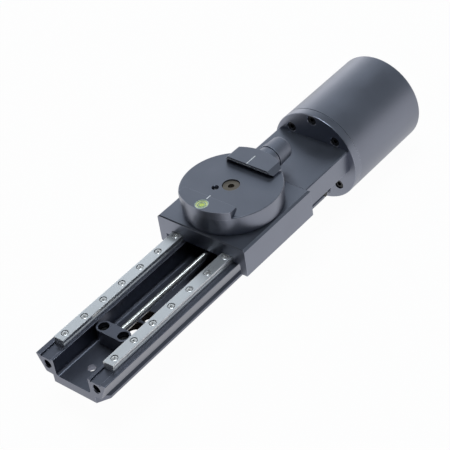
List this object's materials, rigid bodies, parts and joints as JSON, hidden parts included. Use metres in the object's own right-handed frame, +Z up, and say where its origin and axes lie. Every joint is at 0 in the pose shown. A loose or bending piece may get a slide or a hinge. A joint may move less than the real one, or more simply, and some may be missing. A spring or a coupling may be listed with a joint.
{
  "type": "motorised focusing rack",
  "caption": "Motorised linear focusing rack: clamp carriage on guide rails in a channel base, moved by a lead screw from a round motor can.",
  "frame": {"origin": "middle of the flat underside of the base's dovetail foot", "axes": "+X along the rails toward the motor can, +Y to the left seen from the free end, +Z up"},
  "size_m": [0.2794, 0.0616, 0.0626],
  "materials": {
    "body_anodised": "dark slate grey anodised, satin",
    "rail_steel": "fine ground hardened steel",
    "bright_steel": "bright turned steel",
    "dark_steel": "black oxide",
    "tan_steel": "warm grey bead blasted",
    "screw_steel": "polished shaft steel",
    "brass": "turned",
    "black_plastic": "fine moulded",
    "vial_clear": "clear acrylic",
    "vial_liquid": "yellow-green liquid",
    "motor_steel": "laminated, black",
    "motor_aluminium": "die cast and turned",
    "board_green": "solder resist"
  },
  "bodies": {
    "base": {"base_profile": "body_anodised", "rail_left": "rail_steel", "rail_right": "rail_steel", "rail_screws_left": "bright_steel", "rail_screws_right": "bright_steel", "bearing_block": "body_anodised", "block_screws": "dark_steel", "near_bearing": "bright_steel", "tripod_bush_large": "bright_steel", "tripod_bush_small": "bright_steel", "home_switch": "black_plastic", "switch_screws": "bright_steel", "coupling_housing": "body_anodised", "housing_screws": "dark_steel", "rear_bearing": "bright_steel", "bearing_retainer": "bright_steel", "retainer_screws": "bright_steel", "can_plate": "body_anodised", "plate_screws": "dark_steel", "motor_screws": "dark_steel", "can_screws": "dark_steel", "motor_front_bell": "motor_aluminium", "motor_stator": "motor_steel", "motor_rear_bell": "motor_aluminium", "control_board": "board_green", "board_posts": "brass", "can_shell": "body_anodised", "rear_socket": "black_plastic", "socket_contacts": "brass"},
    "drive_shaft": {"lead_screw": "screw_steel", "shaft_coupling": "motor_aluminium", "coupling_screws": "dark_steel", "motor_rotor": "motor_steel", "motor_shaft": "screw_steel"},
    "slider": {"carriage": "body_anodised", "lead_nut": "brass", "nut_screws": "bright_steel", "nut_bracket": "body_anodised", "bracket_screws": "dark_steel", "guide_block_near_left": "rail_steel", "guide_block_near_right": "rail_steel", "guide_block_far_left": "rail_steel", "guide_block_far_right": "rail_steel", "guide_end_caps": "black_plastic", "guide_screws": "dark_steel", "clamp_base": "body_anodised", "guide_pins": "screw_steel", "centre_screw": "tan_steel", "lock_pin": "bright_steel", "clamp_dowel": "bright_steel", "bubble_vial": "vial_clear", "bubble_liquid": "vial_liquid"},
    "clamp_jaw": {"moving_jaw": "body_anodised", "clamp_collar": "body_anodised"},
    "clamp_screw": {"clamp_spindle": "screw_steel", "clamp_knob": "body_anodised", "retaining_ring": "dark_steel"}
  },
  "joints": [
    {"name": "screw_spin", "type": "hinge", "parent": "base", "child": "drive_shaft", "pos_m": [0, 0, 0.0116], "axis": [1, 0, 0], "range_deg": [0, 30601]},
    {"name": "carriage_slide", "type": "slide", "parent": "base", "child": "slider", "axis": [1, 0, 0], "range_m": [-0.085, 0]},
    {"name": "jaw_slide", "type": "slide", "parent": "slider", "child": "clamp_jaw", "axis": [1, 0, 0], "range_m": [0, 0.003]},
    {"name": "knob_spin", "type": "hinge", "parent": "clamp_jaw", "child": "clamp_screw", "pos_m": [0.0714, 0, 0.0366], "axis": [1, 0, 0], "range_deg": [0, 1081]}
  ],
  "couplings": [
    {"joint": "screw_spin", "follows": "carriage_slide", "rad_per_m": -6283.2},
    {"joint": "knob_spin", "follows": "jaw_slide", "rad_per_m": 6283.2}
  ]
}
